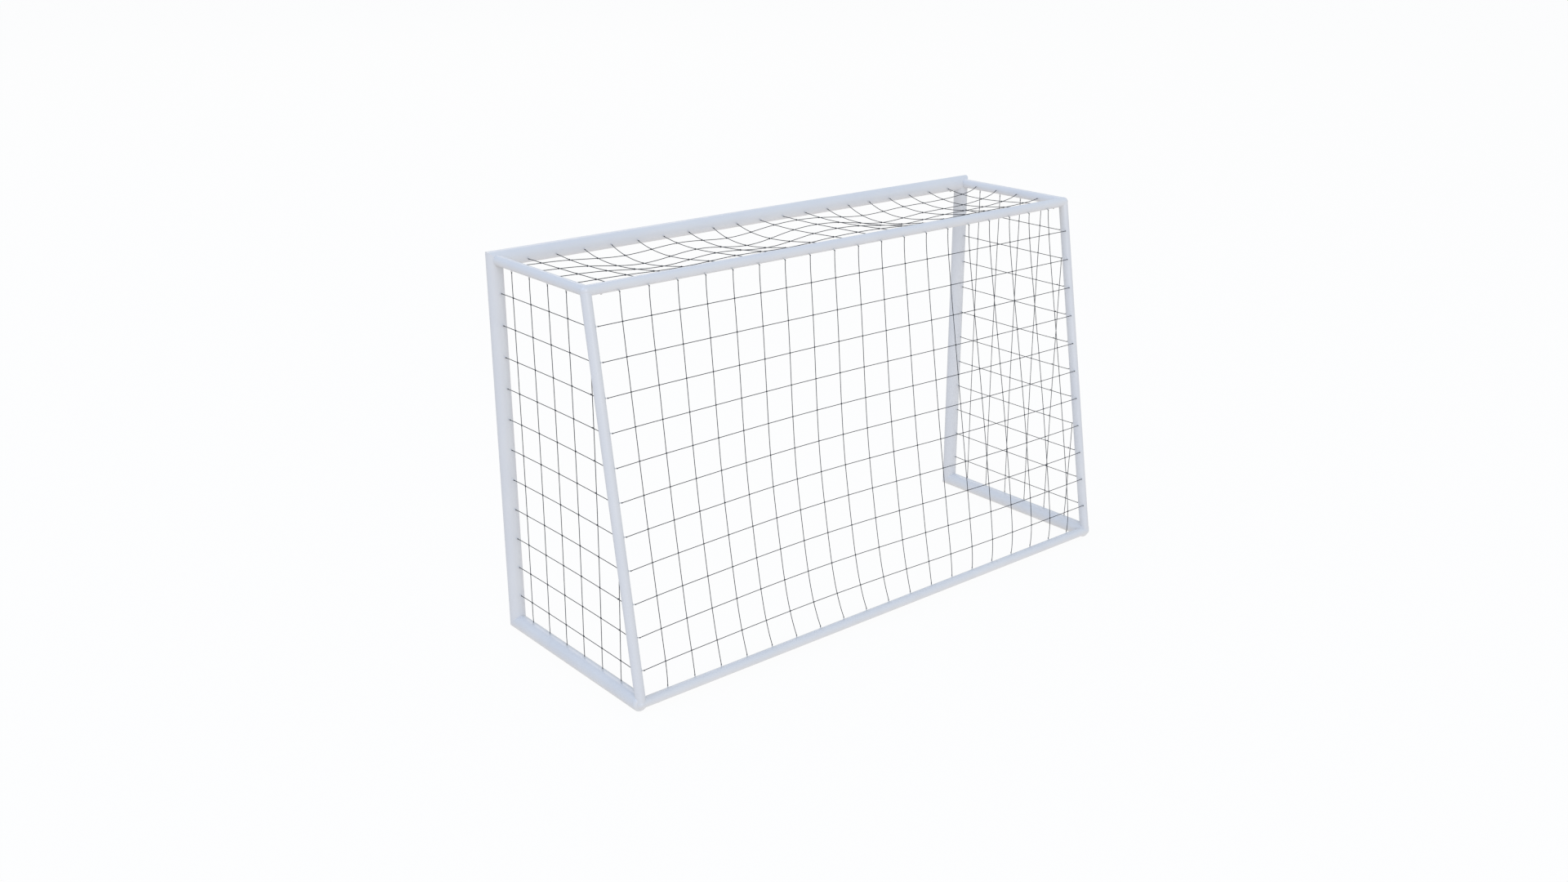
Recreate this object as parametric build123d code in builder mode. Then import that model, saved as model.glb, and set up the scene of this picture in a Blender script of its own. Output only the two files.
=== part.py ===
from build123d import *
import os

# Small soccer goal: a frame of round steel tube that comes apart into two side frames and
# three cross tubes, with four net panels tied to eyelets in the tubes.
#
# Millimetres, +Z up. The origin is on the floor under the middle of the footprint. The mouth
# faces -Y, and +X is to the right as seen from the field.

# Driving dimensions, all between tube axes
goal_width = 2000
goal_height = 1200
top_depth = 500
base_depth = 700
mesh = 100

# Tube: thick for the mouth and the ground bars, thin for the rest
post_radius = 25.4
post_wall = 2.0
bar_radius = 15.9
bar_wall = 1.5

# Corner pieces. Stubs and spigots are measured along their tube.
fit_gap = 0.2
seat_gap = 0.05
insert_wall = 5.0
thick_spigot = 80
pocket_start = 30
thin_spigot = 50
spigot_bore = 9
knuckle_radius = 16.6
rear_top_stub = 26
rear_foot_stub = 36
rear_foot_front = 34
rear_foot_back = 6
rear_foot_spigot = 50
rear_foot_fillet = 10

# Countersunk screws, sunk just under the tube's crown
screw_sink = 0.8
screw_head_radius = 4.6
screw_shank_radius = 2.5
screw_length = 9.0
screw_socket_radius = 1.8
screw_socket_depth = 1.8
thick_screw_place = 50
thin_screw_place = 25

# Snap buttons: a stepped plunger that a coil spring pushes out through the tube's underside
running_gap = 0.05
button_dome = 1.6
button_boss_radius = 8.5
crossbar_button_place = 55
bar_button_place = 25
spring_slack = 0.5

# Net eyelets and twine
twine = 2.5
clip_shank_radius = 2.0
clip_shank_length = 4.0
clip_flange_radius = 3.0
clip_flange_height = 1.2
clip_ring_radius = 2.2
clip_ring_wire = 0.8
clip_ring_height = 3.7
clip_height = clip_ring_height + clip_ring_radius + clip_ring_wire
net_end_gap = 0.3
crossbar_eyelet_dip = 15  # degrees below level

# Levels and depths that follow from them
half_width = goal_width / 2
low_z = post_radius
high_z = low_z + goal_height
front_y = -(base_depth + knuckle_radius - post_radius) / 2
top_y = front_y + top_depth
base_y = front_y + base_depth
thick_spigot_radius = post_radius - post_wall - fit_gap
thin_spigot_radius = bar_radius - bar_wall - fit_gap
net_end = clip_height + net_end_gap
tube_overshoot = 2 * post_radius
cope_reach = 3 * post_radius

FRONT = Vector(0, -1, 0)
REAR = Vector(0, 1, 0)
UP = Vector(0, 0, 1)
DOWN = Vector(0, 0, -1)
ACROSS = Vector(1, 0, 0)
DIPPED = REAR.rotate(Axis.X, -crossbar_eyelet_dip)
SIDES = {"left": -1, "right": 1}

# The leaning back: the way down it, its length and the way that its front faces
lean = Vector(0, base_depth - top_depth, -goal_height)
slant = lean.length
lean = lean.normalized()
lean_front = Vector(0, lean.Z, -lean.Y)
lean_reach = bar_radius / -lean_front.Y

# How many net lines each panel has, one mesh apart and none on a tube
columns = round(goal_width / mesh) - 1
rows = round(goal_height / mesh) - 1
top_rows = round(top_depth / mesh) - 1
side_columns = round(base_depth / mesh) - 1
column_x = [mesh * (k + 1) - half_width for k in range(columns)]
row_heights = [mesh * (k + 1) for k in range(rows)]

os.makedirs("parts", exist_ok=True)


def save(piece, name):
    piece.part.label = name
    export_step(piece.part, f"parts/{name}.step")


def inward(side):
    return Vector(-side, 0, 0)


def front_top(side):
    return Vector(side * half_width, front_y, high_z)


def front_foot(side):
    return Vector(side * half_width, front_y, low_z)


def rear_top(side):
    return Vector(side * half_width, top_y, high_z)


def rear_foot(side):
    return Vector(side * half_width, base_y, low_z)


def lean_depth(height):
    """Distance from the posts back to the leaning plane of the back, at a height over the foot."""
    return top_depth + (goal_height - height) * (base_depth - top_depth) / goal_height


# ------------------------------------------------------------------ screws and eyelets


def screw_body(spare):
    """Countersunk screw pointing down from a tube's crown at z = 0, with its faces out by spare."""
    head = screw_head_radius + spare
    shank = screw_shank_radius + spare
    tip = -screw_length - spare
    with BuildPart() as body:
        with BuildSketch(Plane.XZ):
            with BuildLine():
                Polyline(
                    (0, -screw_sink), (head, -screw_sink), (shank, -screw_sink - head + shank),
                    (shank, tip), (0, tip), close=True,
                )
            make_face()
        revolve(axis=Axis.Z)
    return body


with BuildPart() as screw_pocket:
    add(screw_body(seat_gap))
    with BuildSketch(Plane.XY.offset(-screw_sink)):
        Circle(screw_head_radius + seat_gap)
    extrude(amount=2 * screw_sink)

with BuildPart() as screw:
    add(screw_body(0))
    with BuildSketch(Plane.XY.offset(-screw_sink)):
        RegularPolygon(screw_socket_radius, 6)
    extrude(amount=-screw_socket_depth, mode=Mode.SUBTRACT)

# An eyelet is a pin for the tube wall, a flange on the surface and a ring for the twine
with BuildPart() as clip:
    with BuildSketch(Plane.XY.offset(-clip_shank_length)):
        Circle(clip_shank_radius)
    extrude(amount=clip_shank_length)
    with BuildSketch(Plane.XY):
        Circle(clip_flange_radius)
    extrude(amount=clip_flange_height)
    chamfer(clip.edges().group_by(Axis.Z)[-1], length=clip_flange_height / 2)
    with Locations(Location((0, 0, clip_ring_height), (90, 0, 0))):
        Torus(clip_ring_radius, clip_ring_wire)


def eyelet(point, out, along):
    """Where an eyelet stands: on the surface at point, facing out, its ring's axis along a tube."""
    return Plane(origin=point, x_dir=along.cross(out), z_dir=out)


# Screws of one side frame: on the posts' front, the bars' underside and the stanchions' front
def screw_places(side):
    """Each screw's plane, by the tube that it goes through."""
    thick_crown = post_radius * DOWN
    thin_crown = bar_radius * DOWN
    post_front = post_radius * FRONT
    foot_joint = rear_foot(side) + rear_foot_front * FRONT
    lean_crown = bar_radius * lean_front
    stanchion_top = rear_top(side) + (rear_top_stub + thin_screw_place) * lean
    stanchion_foot = rear_foot(side) - (rear_foot_stub + thin_screw_place) * lean
    bar_front = front_top(side) + (post_radius + thin_screw_place) * REAR
    bar_rear = rear_top(side) + (rear_top_stub + thin_screw_place) * FRONT
    return {
        "post": [
            Plane(front_top(side) + thick_screw_place * DOWN + post_front, z_dir=FRONT),
            Plane(front_foot(side) + thick_screw_place * UP + post_front, z_dir=FRONT),
        ],
        "ground_bar": [
            Plane(front_foot(side) + thick_screw_place * REAR + thick_crown, z_dir=DOWN),
            Plane(foot_joint + thin_screw_place * FRONT + thick_crown, z_dir=DOWN),
        ],
        "top_side_bar": [
            Plane(bar_front + thin_crown, z_dir=DOWN),
            Plane(bar_rear + thin_crown, z_dir=DOWN),
        ],
        "stanchion": [
            Plane(stanchion_top + lean_crown, z_dir=lean_front),
            Plane(stanchion_foot + lean_crown, z_dir=lean_front),
        ],
    }


# Eyelets, by the net panel that they hold and the tube that they plug into
def row_point(side, height):
    """A point of a stanchion's axis, at a height above its foot's axis."""
    return Vector(side * half_width, front_y + lean_depth(height), low_z + height)


def rearward(way):
    """A way in the leaning plane, turned halfway from it to the rear."""
    return (way - lean_front).normalized()


def back_eyelets():
    """Those of the rear bottom bar stand up in the leaning plane, and the others are turned."""
    down, up = rearward(lean), -lean
    places = {
        "rear_top_bar": [
            eyelet(Vector(x, top_y, high_z) + bar_radius * down, down, ACROSS) for x in column_x
        ],
        "rear_bottom_bar": [
            eyelet(Vector(x, base_y, low_z) + bar_radius * up, up, ACROSS) for x in column_x
        ],
    }
    for name, side in SIDES.items():
        out = rearward(inward(side))
        places[f"stanchion_{name}"] = [
            eyelet(row_point(side, h) + bar_radius * out, out, lean) for h in row_heights
        ]
    return places


def side_eyelets(name):
    side = SIDES[name]
    uprights = [mesh * (k + 1) for k in range(side_columns)]
    post_rear = front_foot(side) + post_radius * REAR
    bar_top = front_foot(side) + post_radius * UP
    bar_under = front_top(side) + bar_radius * DOWN
    return {
        f"post_{name}": [eyelet(post_rear + h * UP, REAR, UP) for h in row_heights],
        f"ground_bar_{name}": [eyelet(bar_top + y * REAR, UP, REAR) for y in uprights],
        f"top_side_bar_{name}": [
            eyelet(bar_under + y * REAR, DOWN, REAR) for y in uprights[:top_rows]
        ],
        f"stanchion_{name}": [
            eyelet(row_point(side, h) + lean_reach * FRONT, lean_front, lean)
            for h in row_heights
        ],
    }


def top_eyelets():
    depths = [mesh * (k + 1) for k in range(top_rows)]
    bar_rear = Vector(0, front_y, high_z) + post_radius * DIPPED
    bar_front = Vector(0, top_y - bar_radius, high_z)
    places = {
        "crossbar": [eyelet(bar_rear + x * ACROSS, DIPPED, ACROSS) for x in column_x],
        "rear_top_bar": [eyelet(bar_front + x * ACROSS, FRONT, ACROSS) for x in column_x],
    }
    for name, side in SIDES.items():
        inner = front_top(side) + bar_radius * inward(side)
        places[f"top_side_bar_{name}"] = [
            eyelet(inner + y * REAR, inward(side), REAR) for y in depths
        ]
    return places


clip_groups = {
    "net_clips_back": back_eyelets(),
    "net_clips_left": side_eyelets("left"),
    "net_clips_right": side_eyelets("right"),
    "net_clips_top": top_eyelets(),
}


def eyelet_holes(tube_name):
    """Every eyelet that plugs into one tube."""
    return [place for group in clip_groups.values() for place in group.get(tube_name, [])]


# ------------------------------------------------------------------ cylinders


def cylinder(start, end, radius):
    """Adds a solid cylinder between two points to the part being built."""
    with BuildSketch(Plane(origin=start, z_dir=end - start)) as section:
        Circle(radius)
    extrude(section.sketch, amount=(end - start).length)


def bore(start, end, radius):
    """Cuts a cylinder between two points out of the part being built."""
    with BuildSketch(Plane(origin=start, z_dir=end - start)) as section:
        Circle(radius)
    extrude(section.sketch, amount=(end - start).length, mode=Mode.SUBTRACT)


# ------------------------------------------------------------------ snap buttons


class Button:
    """Sizes of a snap button, with depths measured down from its tube's axis."""

    def __init__(self, head, collar, tube_radius, tube_wall, seat, stand_out, wire, pitch):
        self.head = head
        self.collar = collar
        self.collar_height = collar / 2
        self.seat = seat
        self.tip = tube_radius + stand_out
        self.wire = wire
        self.pitch = pitch
        self.spring_radius = collar - wire - spring_slack
        inner = tube_radius - tube_wall
        outer = self.spring_radius + wire
        self.spring_top = (inner**2 - outer**2) ** 0.5 - seat_gap

    def plunger(self, axis_point):
        """The stepped plunger: a domed head through the tube and a collar inside the spigot."""
        seat_point = axis_point + self.seat * DOWN
        with BuildPart() as plunger:
            with BuildSketch(Plane(seat_point)):
                Circle(self.collar)
            extrude(amount=self.collar_height)
            with BuildSketch(Plane(seat_point)):
                Circle(self.head)
            extrude(amount=self.seat - self.tip)
            fillet(plunger.edges().group_by(Axis.Z)[0], radius=button_dome)
        return plunger

    def spring(self, axis_point):
        """The coil spring between the collar and the top of the tube's bore."""
        bottom = self.collar_height - self.seat + self.wire + seat_gap
        height = self.spring_top - self.wire - seat_gap - bottom
        with BuildPart() as spring:
            with BuildLine() as wire_line:
                Helix(self.pitch, height, self.spring_radius, center=axis_point + bottom * UP)
            start = wire_line.edges()[0]
            with BuildSketch(Plane(origin=start @ 0, z_dir=start % 0)):
                Circle(self.wire)
            sweep()
        return spring

    def cut_bore(self, axis_point, top):
        """Cuts the plunger's bore and its mouth out of the spigot being built."""
        seat_point = axis_point + self.seat * DOWN
        bore(seat_point, axis_point + top * UP, self.collar + running_gap)
        bore(axis_point + self.tip * DOWN, seat_point, self.head + running_gap)


crossbar_button = Button(
    head=4.0, collar=6.0, tube_radius=post_radius, tube_wall=post_wall,
    seat=19.0, stand_out=4.0, wire=0.5, pitch=4.2,
)
bar_button = Button(
    head=3.2, collar=4.6, tube_radius=bar_radius, tube_wall=bar_wall,
    seat=10.5, stand_out=3.0, wire=0.4, pitch=3.0,
)


def button_places(side):
    """For each cross tube, the snap button's kind and the point of the tube's axis over it."""
    rear_top_reach = rear_top_stub + bar_button_place
    rear_foot_reach = rear_foot_stub + bar_button_place
    return {
        "crossbar": (crossbar_button, front_top(side) + crossbar_button_place * inward(side)),
        "rear_top": (bar_button, rear_top(side) + rear_top_reach * inward(side)),
        "rear_bottom": (bar_button, rear_foot(side) + rear_foot_reach * inward(side)),
    }


# ------------------------------------------------------------------ tubes


def tube(start, end, radius, wall, mitres=(), eyelets=(), screws=(), buttons=(), coped=()):
    """Hollow tube with mitred or coped ends and holes for its eyelets, screws and buttons."""
    with BuildPart() as made:
        with BuildSketch(Plane(origin=start, z_dir=end - start)):
            Circle(radius)
            Circle(radius - wall, mode=Mode.SUBTRACT)
        extrude(amount=(end - start).length)
        for plane in mitres:
            split(bisect_by=plane, keep=Keep.TOP)
        for solid in coped:
            add(solid, mode=Mode.SUBTRACT)
        if eyelets:
            with Locations(*eyelets):
                Hole(clip_shank_radius + seat_gap, depth=2 * wall)
        if screws:
            with Locations(*screws):
                add(screw_pocket, mode=Mode.SUBTRACT)
        for kind, point in buttons:
            with Locations(Plane(point + radius * DOWN)):
                Hole(kind.head + running_gap, depth=2 * wall)
    return made


def spigot_hole(side):
    """The solid that the thin spigot of a front top corner takes out of the mitred tubes."""
    start = front_top(side)
    with BuildPart() as hole:
        cylinder(start, start + 2 * post_radius * REAR, thin_spigot_radius + seat_gap)
    return hole.part


def corner_solid(side):
    """The filled outline of a front top corner, which the top side bar is coped to."""
    corner = front_top(side)
    with BuildPart() as post_end:
        cylinder(corner + cope_reach * DOWN, corner + cope_reach * UP, post_radius + seat_gap)
        split(bisect_by=Plane(corner, z_dir=Vector(side, 0, -1)), keep=Keep.TOP)
    with BuildPart() as crossbar_end:
        along = cope_reach * inward(side)
        cylinder(corner - along, corner + along, post_radius + seat_gap)
        split(bisect_by=Plane(corner, z_dir=Vector(-side, 0, 1)), keep=Keep.TOP)
    return [post_end.part, crossbar_end.part]


for name, side in SIDES.items():
    screws = screw_places(side)

    post = tube(
        front_foot(side) + tube_overshoot * DOWN, front_top(side) + tube_overshoot * UP,
        post_radius, post_wall,
        mitres=[
            Plane(front_top(side), z_dir=Vector(side, 0, -1)),
            Plane(front_foot(side), z_dir=Vector(0, -1, 1)),
        ],
        coped=[spigot_hole(side)],
        eyelets=eyelet_holes(f"post_{name}"), screws=screws["post"],
    )
    save(post, f"post_{name}")

    ground_bar = tube(
        front_foot(side) + tube_overshoot * FRONT, rear_foot(side) + rear_foot_front * FRONT,
        post_radius, post_wall,
        mitres=[Plane(front_foot(side), z_dir=Vector(0, 1, -1))],
        eyelets=eyelet_holes(f"ground_bar_{name}"), screws=screws["ground_bar"],
    )
    save(ground_bar, f"ground_bar_{name}")

    top_side_bar = tube(
        front_top(side), rear_top(side) + rear_top_stub * FRONT, bar_radius, bar_wall,
        coped=corner_solid(side),
        eyelets=eyelet_holes(f"top_side_bar_{name}"), screws=screws["top_side_bar"],
    )
    save(top_side_bar, f"top_side_bar_{name}")

    stanchion = tube(
        rear_top(side) + rear_top_stub * lean, rear_foot(side) - rear_foot_stub * lean,
        bar_radius, bar_wall,
        eyelets=eyelet_holes(f"stanchion_{name}"), screws=screws["stanchion"],
    )
    save(stanchion, f"stanchion_{name}")

crossbar = tube(
    front_top(-1) - tube_overshoot * inward(-1), front_top(1) - tube_overshoot * inward(1),
    post_radius, post_wall,
    mitres=[Plane(front_top(s), z_dir=Vector(-s, 0, 1)) for s in SIDES.values()],
    coped=[spigot_hole(s) for s in SIDES.values()],
    eyelets=eyelet_holes("crossbar"),
    buttons=[button_places(s)["crossbar"] for s in SIDES.values()],
)
save(crossbar, "crossbar")

rear_top_bar = tube(
    rear_top(-1) + rear_top_stub * inward(-1), rear_top(1) + rear_top_stub * inward(1),
    bar_radius, bar_wall,
    eyelets=eyelet_holes("rear_top_bar"),
    buttons=[button_places(s)["rear_top"] for s in SIDES.values()],
)
save(rear_top_bar, "rear_top_bar")

rear_bottom_bar = tube(
    rear_foot(-1) + rear_foot_stub * inward(-1), rear_foot(1) + rear_foot_stub * inward(1),
    bar_radius, bar_wall,
    eyelets=eyelet_holes("rear_bottom_bar"),
    buttons=[button_places(s)["rear_bottom"] for s in SIDES.values()],
)
save(rear_bottom_bar, "rear_bottom_bar")


# ------------------------------------------------------------------ corner pieces


def mitred_leg(centre, direction, other):
    """Leg of an elbow inside two mitred tubes, cut on their mitre and hollow towards its tip."""
    tip = centre + thick_spigot * direction
    with BuildPart() as leg:
        cylinder(centre - tube_overshoot * direction, tip, thick_spigot_radius)
        split(bisect_by=Plane(centre, z_dir=direction - other), keep=Keep.TOP)
        bore(centre + pocket_start * direction, tip, thick_spigot_radius - insert_wall)
    return leg.part


def thin_arm(centre, direction, stub, bored=True):
    """Stub flush with the thin tube's outside, then a spigot inside it."""
    joint = centre + stub * direction
    tip = joint + thin_spigot * direction
    cylinder(centre, joint, bar_radius)
    cylinder(joint, tip, thin_spigot_radius)
    if bored:
        bore(joint, tip, spigot_bore)


for name, side in SIDES.items():
    screws = screw_places(side)
    buttons = button_places(side)
    pocket_radius = thick_spigot_radius - insert_wall

    # Front top corner: an elbow inside the mitre of the crossbar and the post, with a thin
    # spigot out through the mitre for the top side bar
    centre = front_top(side)
    kind, under = buttons["crossbar"]
    crossbar_leg = mitred_leg(centre, inward(side), DOWN)
    post_leg = mitred_leg(centre, DOWN, inward(side))
    with BuildPart() as top_corner_insert:
        add([crossbar_leg, post_leg])
        spigot_end = centre + (post_radius + thin_spigot) * REAR
        cylinder(centre, spigot_end, thin_spigot_radius)
        bore(centre + pocket_start * REAR, spigot_end, spigot_bore)
        cylinder(under + kind.seat * DOWN, under + kind.seat * UP, button_boss_radius)
        kind.cut_bore(under, top=post_radius)
        with Locations(screws["post"][0], screws["top_side_bar"][0]):
            add(screw_pocket, mode=Mode.SUBTRACT)
    save(top_corner_insert, f"top_corner_insert_{name}")

    # Front bottom corner: an elbow inside the mitre
    centre = front_foot(side)
    post_leg = mitred_leg(centre, UP, REAR)
    bar_leg = mitred_leg(centre, REAR, UP)
    with BuildPart() as front_foot_insert:
        add([post_leg, bar_leg])
        with Locations(screws["post"][1], screws["ground_bar"][0]):
            add(screw_pocket, mode=Mode.SUBTRACT)
    save(front_foot_insert, f"front_foot_insert_{name}")

    # Rear top corner: a rounded knuckle with three arms
    centre = rear_top(side)
    kind, under = buttons["rear_top"]
    with BuildPart() as rear_top_corner:
        with Locations(centre):
            Sphere(knuckle_radius)
        thin_arm(centre, FRONT, rear_top_stub)
        thin_arm(centre, lean, rear_top_stub)
        thin_arm(centre, inward(side), rear_top_stub, bored=False)
        kind.cut_bore(under, top=bar_radius)
        with Locations(screws["top_side_bar"][1], screws["stanchion"][0]):
            add(screw_pocket, mode=Mode.SUBTRACT)
    save(rear_top_corner, f"rear_top_corner_{name}")

    # Rear bottom corner: the ground bar's rounded end, with a knuckle behind it for the
    # stanchion and the rear bar
    centre = rear_foot(side)
    joint = centre + rear_foot_front * FRONT
    kind, under = buttons["rear_bottom"]
    with BuildPart() as rear_foot_corner:
        cylinder(joint, centre + rear_foot_back * REAR, post_radius)
        fillet(rear_foot_corner.edges().group_by(Axis.Y)[-1], radius=rear_foot_fillet)
        with Locations(centre):
            Sphere(knuckle_radius)
        cylinder(joint, joint + rear_foot_spigot * FRONT, thick_spigot_radius)
        bore(joint, joint + rear_foot_spigot * FRONT, pocket_radius)
        thin_arm(centre, -lean, rear_foot_stub)
        thin_arm(centre, inward(side), rear_foot_stub, bored=False)
        kind.cut_bore(under, top=bar_radius)
        with Locations(screws["ground_bar"][1], screws["stanchion"][1]):
            add(screw_pocket, mode=Mode.SUBTRACT)
    save(rear_foot_corner, f"rear_foot_corner_{name}")

    # Snap buttons and their springs
    for place, (kind, axis_point) in buttons.items():
        plunger = kind.plunger(axis_point)
        save(plunger, f"button_{place}_{name}")
        spring = kind.spring(axis_point)
        save(spring, f"spring_{place}_{name}")

    # The side frame's eight screws
    with BuildPart() as frame_screws:
        with Locations(*[plane for planes in screws.values() for plane in planes]):
            add(screw)
    save(frame_screws, f"frame_screws_{name}")


# ------------------------------------------------------------------ nets and eyelets

for name, group in clip_groups.items():
    with BuildPart() as net_clips:
        with Locations(*[plane for planes in group.values() for plane in planes]):
            add(clip)
    save(net_clips, name)

# Back net: a leaning plane behind the tubes' axes down to the lowest row, and from there the
# uprights turn in to the eyelets of the rear bottom bar. At the other three sides the lines'
# square ends stop short, clear of the turned eyelets.
row_pitch = slant * mesh / goal_height
back_reach = (bar_radius + net_end) * rearward(lean).dot(lean)
back_end = back_reach + twine / 2
back_top = Vector(0, top_y, high_z) + back_end * lean - back_reach * lean_front
back_row = Vector(0, base_y, low_z) - row_pitch * lean - back_reach * lean_front
back_foot = Vector(0, base_y, low_z) - (bar_radius + net_end) * lean
with BuildPart() as net_back:
    for upper, lower in ((back_top, back_row), (back_row, back_foot)):
        facing = ACROSS.cross(upper - lower)
        with BuildSketch(Plane(origin=(upper + lower) / 2, x_dir=ACROSS, z_dir=facing)):
            with GridLocations(mesh, mesh, columns, 1):
                Rectangle(twine, (upper - lower).length)
        extrude(amount=twine / 2, both=True)
    with BuildSketch(Plane(origin=back_row, x_dir=ACROSS, z_dir=ACROSS.cross(-lean))):
        with Locations((0, (rows - 1) * row_pitch / 2)):
            with GridLocations(mesh, row_pitch, 1, rows):
                Rectangle(goal_width - 2 * back_end, twine)
    extrude(amount=twine / 2, both=True)
save(net_back, "net_back")

# Top net, in the plane from the crossbar's dipped eyelets to the rear top bar's
top_front = Vector(0, front_y, high_z) + (post_radius + net_end) * DIPPED
top_rear = Vector(0, top_y, high_z) + (bar_radius + net_end) * FRONT
top_middle = (top_front + top_rear) / 2
with BuildPart() as net_top:
    with BuildSketch(Plane(origin=top_middle, x_dir=ACROSS, z_dir=ACROSS.cross(top_rear - top_front))):
        with GridLocations(mesh, mesh, columns, 1):
            Rectangle(twine, (top_rear - top_front).length)
        with Locations((0, (front_y + top_y) / 2 - top_middle.Y)):
            with GridLocations(mesh, mesh, 1, top_rows):
                Rectangle(goal_width - 2 * (bar_radius + net_end), twine)
    extrude(amount=twine / 2, both=True)
save(net_top, "net_top")

# Side nets. Behind the rear top bar an upright line runs up to the stanchion, and its solid
# stops at the last row that it crosses.
for name, side in SIDES.items():
    corner = front_foot(side)
    with BuildPart() as net_side:
        with BuildSketch(Plane(origin=corner, x_dir=REAR, z_dir=ACROSS)):
            for height in row_heights:
                start = post_radius + net_end
                end = lean_depth(height) - lean_reach - net_end
                with Locations(((start + end) / 2, height)):
                    Rectangle(end - start, twine)
            for k in range(side_columns):
                depth = mesh * (k + 1)
                start = post_radius + net_end
                end = goal_height - bar_radius - net_end
                if k >= top_rows:
                    end = max(h for h in row_heights if lean_depth(h) - lean_reach - net_end > depth)
                with Locations((depth, (start + end) / 2)):
                    Rectangle(twine, end - start)
        extrude(amount=twine / 2, both=True)
    save(net_side, f"net_{name}")
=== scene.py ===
"""Soccer goal frame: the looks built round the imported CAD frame.

Lengths are in metres, in the CAD's frame: +X is right, the mouth faces -Y and +Z is up.
The tubes, corners, screws and snap buttons are the CAD's own nodes with better materials.
The nets, their eyelets and the buttons' springs are new pieces, which stand for CAD nodes.
"""

import math

import bpy
import numpy as np
from mathutils import Matrix, Vector

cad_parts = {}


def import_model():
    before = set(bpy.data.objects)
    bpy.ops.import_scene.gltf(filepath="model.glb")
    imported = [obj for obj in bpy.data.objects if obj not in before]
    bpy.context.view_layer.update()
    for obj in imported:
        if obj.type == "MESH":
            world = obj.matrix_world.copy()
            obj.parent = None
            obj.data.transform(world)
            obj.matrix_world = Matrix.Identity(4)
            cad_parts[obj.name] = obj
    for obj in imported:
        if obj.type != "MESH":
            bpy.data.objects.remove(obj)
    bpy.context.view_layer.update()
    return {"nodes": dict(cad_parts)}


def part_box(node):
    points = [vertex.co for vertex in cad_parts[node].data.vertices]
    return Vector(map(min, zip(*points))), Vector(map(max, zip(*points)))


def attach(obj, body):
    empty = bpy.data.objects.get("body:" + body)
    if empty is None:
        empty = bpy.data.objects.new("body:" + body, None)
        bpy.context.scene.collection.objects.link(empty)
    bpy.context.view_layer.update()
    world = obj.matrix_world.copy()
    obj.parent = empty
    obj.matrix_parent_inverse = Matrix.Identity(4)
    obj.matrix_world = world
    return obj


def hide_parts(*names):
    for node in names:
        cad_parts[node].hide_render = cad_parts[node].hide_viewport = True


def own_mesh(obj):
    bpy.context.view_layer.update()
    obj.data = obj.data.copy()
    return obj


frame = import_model()

# ---------------------------------------------------------------- sizes read from the frame


def middle(node):
    low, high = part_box(node)
    return (low + high) / 2


def half_size(node):
    low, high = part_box(node)
    return (high - low) / 2


POST_RADIUS = half_size("crossbar").z
BAR_RADIUS = half_size("rear_top_bar").z
HALF_WIDTH = middle("post_right").x
FRONT_Y = middle("crossbar").y
HIGH_Z = middle("crossbar").z
TOP_Y = middle("rear_top_bar").y
BASE_Y = middle("rear_bottom_bar").y
LOW_Z = middle("rear_bottom_bar").z
HEIGHT = HIGH_Z - LOW_Z
MESH = 0.1

X = np.array((1.0, 0.0, 0.0))
Y = np.array((0.0, 1.0, 0.0))
Z = np.array((0.0, 0.0, 1.0))

lean_down = np.array((0.0, BASE_Y - TOP_Y, -HEIGHT))
SLANT = float(np.linalg.norm(lean_down))
lean_down /= SLANT
lean_front = np.array((0.0, lean_down[2], -lean_down[1]))
lean_reach = BAR_RADIUS / -lean_front[1]

COLUMNS = [MESH * k - HALF_WIDTH for k in range(1, round(2 * HALF_WIDTH / MESH))]
ROWS = [MESH * k for k in range(1, round(HEIGHT / MESH))]
TOP_DEPTHS = [MESH * k for k in range(1, round((TOP_Y - FRONT_Y) / MESH))]
SIDE_DEPTHS = [MESH * k for k in range(1, round((BASE_Y - FRONT_Y) / MESH))]
SIDES = {"left": -1.0, "right": 1.0}

# The crossbar's eyelets point back and a little down, as its net pulls them
EYELET_DIP = math.radians(15)
DIPPED = math.cos(EYELET_DIP) * Y - math.sin(EYELET_DIP) * Z

# ---------------------------------------------------------------- mesh building


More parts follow.
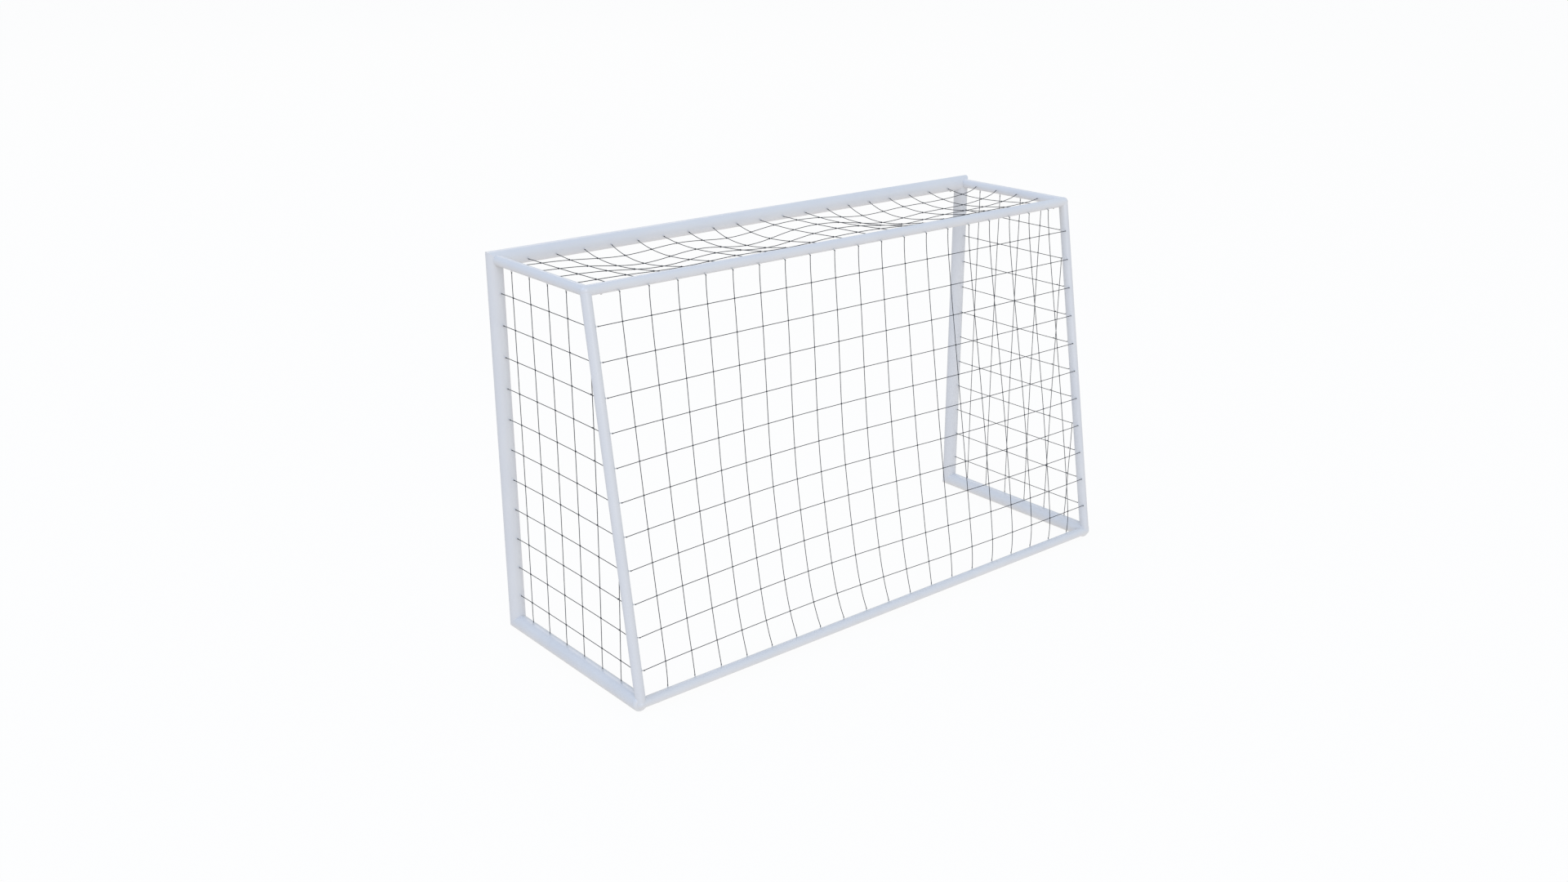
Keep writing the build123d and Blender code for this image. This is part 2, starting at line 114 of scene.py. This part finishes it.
class Shape:
    """Points and four-sided faces gathered for one mesh."""

    def __init__(self):
        self.points = []
        self.quads = []
        self.count = 0

    def add(self, points, quads):
        self.points.append(points)
        self.quads.append(quads + self.count)
        self.count += len(points)

    def rings(self, points, closed=False):
        """Joins rings of points, given as (ring, point, xyz). Open ends are capped."""
        n, m = points.shape[:2]
        i = np.arange(n if closed else n - 1)[:, None]
        j = np.arange(m)[None, :]
        after, beside = (i + 1) % n, (j + 1) % m
        quads = np.stack([i * m + j, i * m + beside, after * m + beside, after * m + j], -1)
        points, quads = [points.reshape(-1, 3)], [quads.reshape(-1, 4)]
        if not closed:
            around = np.arange(m)
            beside = np.roll(around, -1)
            last = (n - 1) * m
            ends = ((beside, around, 0), (last + around, last + beside, n - 1))
            for order, (one, other, ring) in enumerate(ends):
                tip = np.full(m, n * m + order)
                quads.append(np.stack([one, other, tip, tip], -1))
                points.append(points[0][ring * m : ring * m + m].mean(0)[None])
        self.add(np.vstack(points), np.vstack(quads))

    def sweep(self, path, section, normal, closed=False, twist=0.0):
        """Sweeps a section, as offsets (side, normal), along a path. Twist is in radians a step."""
        if closed:
            tangent = np.roll(path, -1, 0) - np.roll(path, 1, 0)
        else:
            tangent = np.gradient(path, axis=0)
        tangent /= np.linalg.norm(tangent, axis=1)[:, None]
        side = np.cross(normal, tangent)
        side /= np.linalg.norm(side, axis=1)[:, None]
        up = np.cross(tangent, side)
        turn = twist * np.arange(len(path))[:, None, None]
        a, b = section[None, :, 0, None], section[None, :, 1, None]
        across = a * np.cos(turn) - b * np.sin(turn)
        above = a * np.sin(turn) + b * np.cos(turn)
        self.rings(path[:, None] + across * side[:, None] + above * up[:, None], closed)

    def build(self, name, material):
        points = np.vstack(self.points)
        quads = np.vstack(self.quads)
        three = quads[:, 2] == quads[:, 3]
        sizes = np.where(three, 3, 4)
        loops = quads[np.arange(4)[None, :] < sizes[:, None]]
        mesh = bpy.data.meshes.new(name)
        mesh.vertices.add(len(points))
        mesh.vertices.foreach_set("co", points.astype(np.float32).ravel())
        mesh.loops.add(len(loops))
        mesh.loops.foreach_set("vertex_index", loops.astype(np.int32))
        mesh.polygons.add(len(sizes))
        starts = np.concatenate([[0], np.cumsum(sizes)[:-1]])
        mesh.polygons.foreach_set("loop_start", starts.astype(np.int32))
        mesh.update(calc_edges=True)
        mesh.validate()
        mesh.shade_smooth()
        mesh.materials.append(material)
        made = bpy.data.objects.new(name, mesh)
        bpy.context.scene.collection.objects.link(made)
        return made


def ring_section(radius, sides):
    angle = 2 * math.pi * np.arange(sides) / sides
    return radius * np.stack([np.cos(angle), np.sin(angle)], -1)


def star_section(radius, lobes, depth):
    """A section of laid strands: a peak for each strand and a groove between each two."""
    angle = math.pi * np.arange(2 * lobes) / lobes
    reach = radius * np.where(np.arange(2 * lobes) % 2 == 0, 1.0, 1.0 - depth)
    return reach[:, None] * np.stack([np.cos(angle), np.sin(angle)], -1)


def loop_path(centre, a, b, reach_a, reach_b, steps):
    """An ellipse about centre in the plane of a and b."""
    angle = (2 * math.pi * np.arange(steps) / steps)[:, None]
    return centre + reach_a * np.cos(angle) * a + reach_b * np.sin(angle) * b


# ---------------------------------------------------------------- materials


class Look:
    """A node material with one Principled shader, and short names for the nodes it needs."""

    def __init__(self, name, **constants):
        self.material = bpy.data.materials.new(name)
        self.material.use_nodes = True
        self.tree = self.material.node_tree
        self.shader = self.tree.nodes["Principled BSDF"]
        for socket, value in constants.items():
            self.shader.inputs[socket.replace("_", " ")].default_value = value
        self.place = self.node("ShaderNodeTexCoord").outputs["Object"]

    def node(self, kind, **settings):
        made = self.tree.nodes.new(kind)
        for key, value in settings.items():
            setattr(made, key, value)
        return made

    def link(self, source, target):
        self.tree.links.new(source, target)

    def mapped(self, scale):
        node = self.node("ShaderNodeMapping")
        node.inputs["Scale"].default_value = scale
        self.link(self.place, node.inputs["Vector"])
        return node.outputs["Vector"]

    def noise(self, scale, detail=3.0, rough=0.5, stretch=(1, 1, 1)):
        node = self.node("ShaderNodeTexNoise")
        node.inputs["Scale"].default_value = scale
        node.inputs["Detail"].default_value = detail
        node.inputs["Roughness"].default_value = rough
        self.link(self.mapped(stretch), node.inputs["Vector"])
        return node.outputs["Fac"]

    def remap(self, value, low, high, out_low, out_high, smooth=False):
        node = self.node("ShaderNodeMapRange")
        if smooth:
            node.interpolation_type = "SMOOTHSTEP"
        names = ("From Min", "From Max", "To Min", "To Max")
        for key, number in zip(names, (low, high, out_low, out_high)):
            node.inputs[key].default_value = number
        self.link(value, node.inputs["Value"])
        return node.outputs["Result"]

    def math(self, operation, a, b):
        node = self.node("ShaderNodeMath", operation=operation)
        for socket, value in zip(node.inputs, (a, b)):
            if isinstance(value, (int, float)):
                socket.default_value = value
            else:
                self.link(value, socket)
        return node.outputs[0]

    def mix(self, factor, a, b):
        node = self.node("ShaderNodeMix", data_type="RGBA")
        self.link(factor, node.inputs[0])
        for socket, value in ((node.inputs[6], a), (node.inputs[7], b)):
            if isinstance(value, tuple):
                socket.default_value = (*value, 1.0)
            else:
                self.link(value, socket)
        return node.outputs[2]

    def bump(self, height, distance, strength=1.0, before=None):
        node = self.node("ShaderNodeBump")
        node.inputs["Distance"].default_value = distance
        node.inputs["Strength"].default_value = strength
        self.link(height, node.inputs["Height"])
        if before is not None:
            self.link(before, node.inputs["Normal"])
        return node.outputs["Normal"]

    def finish(self, colour=None, rough=None, normal=None):
        for socket, value in (("Base Color", colour), ("Roughness", rough), ("Normal", normal)):
            if value is not None:
                self.link(value, self.shader.inputs[socket])
        return self.material


def powder_coat():
    look = Look("powder_coat", IOR=1.5, Coat_Weight=0.15, Coat_Roughness=0.12)
    cloud = look.remap(look.noise(5.0, 4.0), 0.35, 0.65, 0.0, 1.0)
    colour = look.mix(cloud, (0.655, 0.665, 0.70), (0.685, 0.69, 0.715))
    # Pigment specks, a faint film of dust low on the frame, and rubbed patches
    speck = look.remap(look.noise(620.0, 2.0), 0.62, 0.70, 0.0, 0.35, smooth=True)
    colour = look.mix(speck, colour, (0.60, 0.61, 0.64))
    height = look.node("ShaderNodeSeparateXYZ")
    look.link(look.place, height.inputs[0])
    low = look.remap(height.outputs["Z"], 0.0, 0.12, 1.0, 0.0, smooth=True)
    patch = look.remap(look.noise(26.0, 5.0, 0.6), 0.45, 0.7, 0.0, 0.08)
    dust = look.math("MULTIPLY", low, patch)
    colour = look.mix(dust, colour, (0.50, 0.46, 0.40))
    rubbed = look.remap(look.noise(14.0, 6.0, 0.65), 0.56, 0.68, 0.0, 1.0, smooth=True)
    rough = look.remap(look.noise(48.0, 3.0), 0.3, 0.7, 0.33, 0.41)
    rough = look.math("ADD", rough, look.math("MULTIPLY", rubbed, 0.08))
    peel = look.bump(look.noise(420.0, 2.0, 0.45), 0.00010, 0.35)
    swell = look.bump(look.noise(95.0, 1.0), 0.00015, 0.3, peel)
    return look.finish(colour, rough, swell)


def twine_look():
    look = Look("twine", Specular_IOR_Level=0.25, Sheen_Weight=0.15, Sheen_Roughness=0.5)
    fade = look.remap(look.noise(3.0, 3.0), 0.35, 0.65, 0.0, 1.0)
    colour = look.mix(fade, (0.022, 0.026, 0.036), (0.036, 0.041, 0.052))
    fibre = look.noise(2400.0, 2.0, 0.6)
    colour = look.mix(look.remap(fibre, 0.35, 0.65, 0.0, 0.5), colour, (0.060, 0.066, 0.080))
    rough = look.remap(fibre, 0.3, 0.7, 0.62, 0.82)
    return look.finish(colour, rough, look.bump(fibre, 0.00012, 0.6))


def nylon_look(name, tone):
    look = Look(name, IOR=1.53)
    cloud = look.remap(look.noise(220.0, 3.0), 0.35, 0.65, 0.0, 1.0)
    colour = look.mix(cloud, tone, tuple(1.25 * c for c in tone))
    grain = look.noise(1500.0, 2.0)
    rough = look.remap(grain, 0.3, 0.7, 0.42, 0.55)
    return look.finish(colour, rough, look.bump(grain, 0.00006, 0.4))


def steel_look(name, tone, rough_low, rough_high):
    look = Look(name, Metallic=1.0)
    spangle = look.remap(look.noise(160.0, 4.0, 0.6), 0.3, 0.7, 0.0, 1.0)
    colour = look.mix(spangle, tone, tuple(0.86 * c for c in tone))
    lines = look.noise(900.0, 3.0, 0.6, stretch=(1, 1, 0.12))
    rough = look.remap(lines, 0.3, 0.7, rough_low, rough_high)
    return look.finish(colour, rough, look.bump(lines, 0.00003, 0.5))


POWDER = powder_coat()
TWINE = twine_look()
EYELET = nylon_look("eyelet_nylon", (0.56, 0.57, 0.59))
INSERT = nylon_look("insert_nylon", (0.030, 0.031, 0.034))
ZINC = steel_look("zinc_steel", (0.66, 0.67, 0.68), 0.26, 0.40)
BRIGHT = steel_look("button_steel", (0.74, 0.74, 0.75), 0.14, 0.26)
SPRING = steel_look("spring_steel", (0.46, 0.45, 0.44), 0.24, 0.36)

NODE_LOOKS = (
    ("frame_screws", ZINC),
    ("button_", BRIGHT),
    ("spring_", SPRING),
    ("top_corner_insert", INSERT),
    ("front_foot_insert", INSERT),
    ("net_clips", EYELET),
    ("net_", TWINE),
)
for node_name, node in frame["nodes"].items():
    looks = [look for start, look in NODE_LOOKS if node_name.startswith(start)]
    node.data.materials.clear()
    node.data.materials.append(looks[0] if looks else POWDER)

# ---------------------------------------------------------------- eyelets

FLANGE_RADIUS = 0.0030
FLANGE_HEIGHT = 0.0012
RING_RADIUS = 0.0022
RING_WIRE = 0.0008
RING_HEIGHT = 0.0037
SHANK_RADIUS = 0.0020
SHANK_LENGTH = 0.0040
SHANK_SINK = 0.0001
EYELET_STEPS = 14
RING_STEPS = 18
WIRE_SIDES = 8


def rearward(way):
    """A way in the leaning plane, turned halfway from it to the rear."""
    return math.sqrt(0.5) * (way - lean_front)


def back_eyelets():
    """Those of the rear bottom bar stand up in the leaning plane, and the others are turned."""
    down, up = rearward(lean_down), -lean_down
    top = [(np.array((x, TOP_Y, HIGH_Z)) + BAR_RADIUS * down, down, X) for x in COLUMNS]
    foot = [(np.array((x, BASE_Y, LOW_Z)) + BAR_RADIUS * up, up, X) for x in COLUMNS]
    ends = []
    for side in SIDES.values():
        out = rearward(-side * X)
        ends += [(row_axis(side, h) + BAR_RADIUS * out, out, lean_down) for h in ROWS]
    return top + foot + ends


def row_depth(height):
    """Distance from the posts back to the leaning plane, at a height over the ground bars' axis."""
    return TOP_Y - FRONT_Y + (HEIGHT - height) * (BASE_Y - TOP_Y) / HEIGHT


def row_axis(side, height):
    return np.array((side * HALF_WIDTH, FRONT_Y + row_depth(height), LOW_Z + height))


def side_eyelets(side):
    foot = np.array((side * HALF_WIDTH, FRONT_Y, LOW_Z))
    top = np.array((side * HALF_WIDTH, FRONT_Y, HIGH_Z))
    posts = [(foot + POST_RADIUS * Y + h * Z, Y, Z) for h in ROWS]
    ground = [(foot + POST_RADIUS * Z + y * Y, Z, Y) for y in SIDE_DEPTHS]
    under = [(top - BAR_RADIUS * Z + y * Y, -Z, Y) for y in TOP_DEPTHS]
    rear = [(row_axis(side, h) - lean_reach * Y, lean_front, lean_down) for h in ROWS]
    return posts + ground + under + rear


def top_eyelets():
    crossbar = np.array((0.0, FRONT_Y, HIGH_Z)) + POST_RADIUS * DIPPED
    front = [(crossbar + x * X, DIPPED, X) for x in COLUMNS]
    rear = [(np.array((x, TOP_Y - BAR_RADIUS, HIGH_Z)), -Y, X) for x in COLUMNS]
    ends = [
        (np.array((side * (HALF_WIDTH - BAR_RADIUS), FRONT_Y + y, HIGH_Z)), -side * X, Y)
        for side in SIDES.values() for y in TOP_DEPTHS
    ]
    return front + rear + ends


EYELETS = {
    "back": back_eyelets(),
    "left": side_eyelets(SIDES["left"]),
    "right": side_eyelets(SIDES["right"]),
    "top": top_eyelets(),
}


def add_eyelet(shape, point, out, along):
    """A pin, a chamfered flange and a ring, whose axis lies along the tube."""
    across = np.cross(out, along)
    profile = np.array((
        (0.6 * SHANK_RADIUS, -SHANK_LENGTH), (SHANK_RADIUS, 0.8 * -SHANK_LENGTH),
        (SHANK_RADIUS, -SHANK_SINK), (FLANGE_RADIUS, -SHANK_SINK),
        (FLANGE_RADIUS, 0.55 * FLANGE_HEIGHT), (0.93 * FLANGE_RADIUS, 0.85 * FLANGE_HEIGHT),
        (0.78 * FLANGE_RADIUS, FLANGE_HEIGHT), (0.30 * FLANGE_RADIUS, 1.02 * FLANGE_HEIGHT),
    ))
    angle = 2 * math.pi * np.arange(EYELET_STEPS) / EYELET_STEPS
    around = np.cos(angle)[:, None] * along + np.sin(angle)[:, None] * across
    turned = profile[:, 0, None, None] * around + profile[:, 1, None, None] * out
    shape.rings(point + turned)
    ring = loop_path(point + RING_HEIGHT * out, out, across, RING_RADIUS, RING_RADIUS, RING_STEPS)
    shape.sweep(ring, ring_section(RING_WIRE, WIRE_SIDES), along, closed=True)


for panel, places in EYELETS.items():
    shape = Shape()
    for place in places:
        add_eyelet(shape, *place)
    piece = shape.build(f"eyelets_{panel}", EYELET)
    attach(piece, "frame")
    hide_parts(f"net_clips_{panel}")

# ---------------------------------------------------------------- nets

# The twine: three strands whose lay turns by a step's angle along each step
TWINE_RADIUS = 0.00135
STRANDS = star_section(TWINE_RADIUS, 3, 0.24)
LAY_STEP = 0.002
LAY_TURN = math.radians(45)

# Its crossings: one line passes over the other, and two lashings hold them
WEAVE = 0.0008
WEAVE_FADE = 0.03
LASHING_REACH = 0.0021
LASHING_HEIGHT = 0.0024
LASHING_RADIUS = 0.0006

# Its ends: a loop through the eyelet's ring, and turns that lash the line behind the loop
LOOP_RADIUS = 0.0006
LOOP_REACH = 0.0015
LOOP_HEIGHT = RING_HEIGHT + RING_RADIUS
LINE_START = LOOP_HEIGHT + LOOP_REACH
TURN_HEIGHTS = (LINE_START + 0.0004, LINE_START + 0.0015)
TURN_REACH = 0.0013
TURN_RADIUS = 0.0005

# The top net's swags, each as its depth, its middle along the goal and its width
SWAGS = (
    (0.031, 0.60, 0.185),
    (0.032, 0.19, 0.165),
    (0.032, -0.40, 0.18),
    (0.026, -0.76, 0.275),
)

# The back net's top and side edges are as far behind the tubes' axes as inside them
BACK_START = BAR_RADIUS + LINE_START
BACK_REACH = math.sqrt(0.5) * BACK_START
BACK_SET = 0.009

# Its bulge towards the mouth and the dent beside that, given as the swags are, and how far down
# from the rear top bar they are deepest
BULGES = ((0.048, 0.25, 0.54), (-0.0144, -0.60, 0.50))
BULGE_PEAK = 0.62

SIDE_SLACK = 0.005


def smooth_step(t):
    t = np.clip(t, 0.0, 1.0)
    return t * t * (3 - 2 * t)


def swell(x, bumps):
    """The sum of smooth bumps, each given as its depth, its middle and its width."""
    return sum(depth * np.exp(-(((x - centre) / width) ** 2)) for depth, centre, width in bumps)


def top_sag(x, y):
    """How far the top net hangs: four swags across it, deepest a third of the way back.

    It also falls from the rear top bar to the crossbar's dipped eyelets.
    """
    start = (POST_RADIUS + LINE_START) * DIPPED[1]
    end = TOP_Y - FRONT_Y - BAR_RADIUS - LINE_START
    t = np.clip((y - FRONT_Y - start) / (end - start), 0.0, 1.0)
    across = np.clip(np.abs(x / (HALF_WIDTH - BAR_RADIUS - LINE_START)), 0, 1)
    dip = (POST_RADIUS + LINE_START) * -DIPPED[2] * (1 - t) * (1 - across**60)
    return dip + swell(x, SWAGS) * (1 - across**20) * np.sin(math.pi * t**0.7) ** 1.2


def back_bulge(x, q):
    """How far the back net is blown towards the mouth, at a distance q up from the rear bar.

    It hangs a little behind the leaning plane, and farther where turned eyelets hold its edges.
    """
    t = np.clip(1 - (q - BACK_START) / (SLANT - BACK_START - BACK_REACH), 0.0, 1.0)
    fall = np.clip((t - BULGE_PEAK) / (1 - BULGE_PEAK), 0, 1)
    rise = np.where(t < BULGE_PEAK, smooth_step(t / BULGE_PEAK), 1 - 0.3 * fall**2 - 0.7 * fall**7)
    beside = np.clip(np.abs(x / (HALF_WIDTH - BACK_REACH)), 0, 1) ** 12
    held = 1 - (1 - beside) * (1 - (1 - t) ** 20)
    hang = (BACK_SET + (BACK_REACH - BACK_SET) * held) * (1 - fall**12)
    return rise * swell(x, BULGES) * (1 - beside) - hang


def back_point(x, q):
    x, q = np.broadcast_arrays(x, q)
    foot = np.array((0.0, BASE_Y, LOW_Z))
    flat = foot + x[..., None] * X - q[..., None] * lean_down
    return flat + back_bulge(x, q)[..., None] * lean_front


def top_point(x, y):
    x, y = np.broadcast_arrays(x, y)
    return x[..., None] * X + y[..., None] * Y + (HIGH_Z - top_sag(x, y))[..., None] * Z


def side_point(side):
    def point(y, z):
        y, z = np.broadcast_arrays(y, z)
        height = np.clip((z - LOW_Z) / HEIGHT, 0, 1)
        depth = np.clip((y - FRONT_Y) / (BASE_Y - FRONT_Y), 0, 1)
        slack = SIDE_SLACK * np.sin(math.pi * height) * np.sin(math.pi * depth)
        x = side * (HALF_WIDTH - slack)
        return x[..., None] * X + y[..., None] * Y + z[..., None] * Z

    return point


def add_line(shape, start, end, surface, normal, weave):
    """One twine along a net's surface between two (a, b) places, woven to one side of it."""
    start, end = np.array(start, float), np.array(end, float)
    length = float(np.linalg.norm(end - start))
    t = np.linspace(0, 1, max(3, round(length / LAY_STEP) + 1))[:, None]
    places = start + t * (end - start)
    near = np.minimum(t[:, 0], 1 - t[:, 0]) * length
    lift = weave * WEAVE * smooth_step(near / WEAVE_FADE)
    path = surface(places[:, 0], places[:, 1]) + lift[:, None] * normal
    shape.sweep(path, STRANDS, normal, twist=LAY_TURN)


def add_knot(shape, point, a, b, normal):
    """Two thin lashings over a crossing, one along each diagonal."""
    for way in (a + b, a - b):
        way = way / np.linalg.norm(way)
        flat = np.cross(normal, way)
        path = loop_path(point, way, normal, LASHING_REACH, LASHING_HEIGHT, 12)
        shape.sweep(path, ring_section(LASHING_RADIUS, 5), flat, closed=True)


def add_tie(shape, point, out, along):
    """A line's end: a loop through the eyelet's ring and two turns that lash it."""
    across = np.cross(along, out)
    loop = loop_path(point + LOOP_HEIGHT * out, along, out, LOOP_REACH, LOOP_REACH, 14)
    shape.sweep(loop, ring_section(LOOP_RADIUS, 6), across, closed=True)
    for height in TURN_HEIGHTS:
        turn = loop_path(point + height * out, along, across, TURN_REACH, TURN_REACH, 12)
        shape.sweep(turn, ring_section(TURN_RADIUS, 6), out, closed=True)


def net_piece(name, shape, node):
    piece = shape.build(name, TWINE)
    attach(piece, "frame")
    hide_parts(node)
    return piece


def build_back():
    normal = lean_front
    uprights, rows = Shape(), Shape()
    for x in COLUMNS:
        add_line(uprights, (x, BACK_START), (x, SLANT - BACK_REACH), back_point, normal, 1)
    reach = HALF_WIDTH - BACK_REACH
    for h in ROWS:
        q = h * SLANT / HEIGHT
        add_line(rows, (-reach, q), (reach, q), back_point, normal, -1)
        for x in COLUMNS:
            add_knot(rows, back_point(x, q), X, lean_down, normal)
    places = EYELETS["back"]
    count = 2 * len(COLUMNS)
    for place in places[:count]:
        add_tie(uprights, *place)
    for place in places[count:]:
        add_tie(rows, *place)
    net_piece("net_twine_back_uprights", uprights, "net_back")
    net_piece("net_twine_back_rows", rows, "net_back")


def build_top():
    shape = Shape()
    first = FRONT_Y + (POST_RADIUS + LINE_START) * DIPPED[1]
    last = TOP_Y - BAR_RADIUS - LINE_START
    for x in COLUMNS:
        add_line(shape, (x, first), (x, last), top_point, Z, 1)
    reach = HALF_WIDTH - BAR_RADIUS - LINE_START
    for depth in TOP_DEPTHS:
        y = FRONT_Y + depth
        add_line(shape, (-reach, y), (reach, y), top_point, Z, -1)
        for x in COLUMNS:
            add_knot(shape, top_point(x, y), X, Y, Z)
    for place in EYELETS["top"]:
        add_tie(shape, *place)
    net_piece("net_twine_top", shape, "net_top")


def build_side(name, side):
    shape = Shape()
    surface = side_point(side)
    out = side * X
    last_of_row = {h: row_axis(side, h) - lean_reach * Y + LINE_START * lean_front for h in ROWS}
    top_of = {}
    for depth in SIDE_DEPTHS:
        y = FRONT_Y + depth
        top = HIGH_Z - BAR_RADIUS - LINE_START
        end = (y, top)
        if depth > TOP_DEPTHS[-1] + MESH / 2:
            tie = max((p for p in last_of_row.values() if p[1] < y + MESH / 4), key=lambda p: p[1])
            end = (tie[1], tie[2])
        top_of[depth] = end[1]
        add_line(shape, (y, LOW_Z + POST_RADIUS + LINE_START), end, surface, out, 1)
    for h in ROWS:
        z = LOW_Z + h
        tie = last_of_row[h]
        add_line(shape, (FRONT_Y + POST_RADIUS + LINE_START, z), (tie[1], tie[2]), surface, out, -1)
        for depth in SIDE_DEPTHS:
            y = FRONT_Y + depth
            if z < top_of[depth] - MESH / 10:
                add_knot(shape, surface(y, z), Y, Z, out)
    for place in EYELETS[name]:
        add_tie(shape, *place)
    net_piece(f"net_twine_{name}", shape, f"net_{name}")


build_back()
build_top()
for side_name, side_sign in SIDES.items():
    build_side(side_name, side_sign)

# ---------------------------------------------------------------- springs of the snap buttons

# Each spring's wire radius and the pitch of its open turns
SPRING_SIZES = {
    "crossbar": (0.0005, 0.0042),
    "rear_top": (0.0004, 0.0030),
    "rear_bottom": (0.0004, 0.0030),
}
CLOSED_TURNS = 2
SPRING_STEPS = 18

for tube, (wire, pitch) in SPRING_SIZES.items():
    for side_name in SIDES:
        node_name = f"spring_{tube}_{side_name}"
        low, high = (np.array(corner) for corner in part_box(node_name))
        centre = (low + high) / 2
        radius = (high[0] - low[0]) / 2 - wire
        bottom, top = low[2] + wire, high[2] - wire
        turns = max(3, round((top - bottom) / pitch)) + CLOSED_TURNS
        t = np.linspace(0, 1, SPRING_STEPS * turns + 1)
        # The first and last turns lie closed
        rises = (0, 2 * wire, top - bottom - 2 * wire, top - bottom)
        rise = np.interp(t * turns, (0, 1, turns - 1, turns), rises)
        angle = 2 * math.pi * turns * t
        path = np.stack(
            [centre[0] + radius * np.cos(angle), centre[1] + radius * np.sin(angle), bottom + rise], -1
        )
        shape = Shape()
        shape.sweep(path, ring_section(wire, WIRE_SIDES), Z)
        spring = shape.build(f"coil_{tube}_{side_name}", SPRING)
        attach(spring, "frame")
        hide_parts(node_name)
        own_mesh(spring)

# ---------------------------------------------------------------- floor, light and camera

FLOOR_RADII = (0.02, 4.0, 12.0, 30.0)
DOME_RADIUS = 60.0
LAMP_DISTANCE = 25.0
LAMP_SPREAD = 0.4  # a lamp's side over its distance

CAMERA_PLACE = Vector((3.1627, 3.6045, 2.2478))
CAMERA_RIGHT = Vector((-0.768368, 0.640008, 0.000095))
CAMERA_UP = Vector((-0.217864, -0.261698, 0.940239))
CAMERA_LENS = 34.59  # millimetres, on a sensor as wide as full frame
SENSOR_WIDTH = 36.0


def studio_floor():
    """A plain pale floor that curves up into a dome far away, so that no edge of it shows.

    It is seen, and takes faint shadows, but the light on the goal comes from the world and lamps.
    """
    profile = [(r, 0.0) for r in FLOOR_RADII]
    profile += [
        (DOME_RADIUS * math.cos(a), DOME_RADIUS * math.sin(a))
        for a in np.linspace(0.02, math.pi / 2 - 0.001, 10)
    ]
    angle = 2 * math.pi * np.arange(48) / 48
    around = np.stack([np.cos(angle), np.sin(angle), 0 * angle], -1)
    shape = Shape()
    shape.rings(np.array([r * around + z * Z for r, z in profile]))
    material = bpy.data.materials.new("floor")
    material.use_nodes = True
    shader = material.node_tree.nodes["Principled BSDF"]
    for socket, value in (
        ("Base Color", (0.06, 0.06, 0.06, 1.0)),
        ("Roughness", 1.0),
        ("Specular IOR Level", 0.0),
        ("Emission Color", (1.0, 1.0, 1.0, 1.0)),
        ("Emission Strength", 0.93),
    ):
        shader.inputs[socket].default_value = value
    made = shape.build("floor", material)
    made.visible_diffuse = False
    made.visible_glossy = False
    made.visible_shadow = False


def world():
    """Soft studio light: cool from above and warm from the floor, dimmest round the horizon."""
    made = bpy.data.worlds.new("studio")
    bpy.context.scene.world = made
    made.use_nodes = True
    nodes, links = made.node_tree.nodes, made.node_tree.links
    place = nodes.new("ShaderNodeTexCoord")
    split = nodes.new("ShaderNodeSeparateXYZ")
    height = nodes.new("ShaderNodeMapRange")
    height.inputs["From Min"].default_value = -1.0
    ramp = nodes.new("ShaderNodeValToRGB")
    links.new(place.outputs["Generated"], split.inputs[0])
    links.new(split.outputs["Z"], height.inputs["Value"])
    links.new(height.outputs["Result"], ramp.inputs["Fac"])
    stops = (
        (0.000, (0.98, 0.97, 0.94)),
        (0.300, (0.82, 0.79, 0.78)),
        (0.500, (0.66, 0.65, 0.61)),
        (0.650, (0.76, 0.86, 0.94)),
        (0.825, (0.71, 0.79, 0.88)),
        (1.000, (0.61, 0.66, 0.73)),
    )
    elements = ramp.color_ramp.elements
    while len(elements) < len(stops):
        elements.new(0.5)
    for element, (position, colour) in zip(elements, stops):
        element.position = position
        element.color = (*colour, 1.0)
    links.new(ramp.outputs["Color"], nodes["Background"].inputs["Color"])
    nodes["Background"].inputs["Strength"].default_value = 1.0


def softbox(name, azimuth, elevation, power, colour):
    """A large square lamp that faces the goal, at degrees round from +X and degrees up."""
    azimuth, elevation = math.radians(azimuth), math.radians(elevation)
    level = math.cos(elevation)
    away = Vector((level * math.cos(azimuth), level * math.sin(azimuth), math.sin(elevation)))
    data = bpy.data.lights.new(name, "AREA")
    data.shape = "SQUARE"
    data.size = LAMP_SPREAD * LAMP_DISTANCE
    data.energy = power
    data.color = colour
    made = bpy.data.objects.new(name, data)
    made.location = LAMP_DISTANCE * away
    made.rotation_euler = away.to_track_quat("Z", "Y").to_euler()
    made.visible_camera = False
    bpy.context.scene.collection.objects.link(made)


def camera():
    data = bpy.data.cameras.new("camera")
    data.lens = CAMERA_LENS
    data.sensor_width = SENSOR_WIDTH
    data.clip_start, data.clip_end = 0.05, 500.0
    made = bpy.data.objects.new("camera", data)
    back = CAMERA_RIGHT.cross(CAMERA_UP).normalized()
    turn = Matrix((CAMERA_RIGHT, CAMERA_UP, back)).transposed().to_4x4()
    made.matrix_world = Matrix.Translation(CAMERA_PLACE) @ turn
    bpy.context.scene.collection.objects.link(made)
    bpy.context.scene.camera = made


studio_floor()
world()
softbox("key_light", 75, 20, 1540.0, (0.92, 0.93, 1.0))
softbox("warm_fill", 240, 35, 444.0, (1.0, 0.76, 0.51))
softbox("side_light", 350, 45, 1112.0, (0.50, 0.64, 1.0))
camera()
bpy.context.scene.view_settings.view_transform = "Standard"
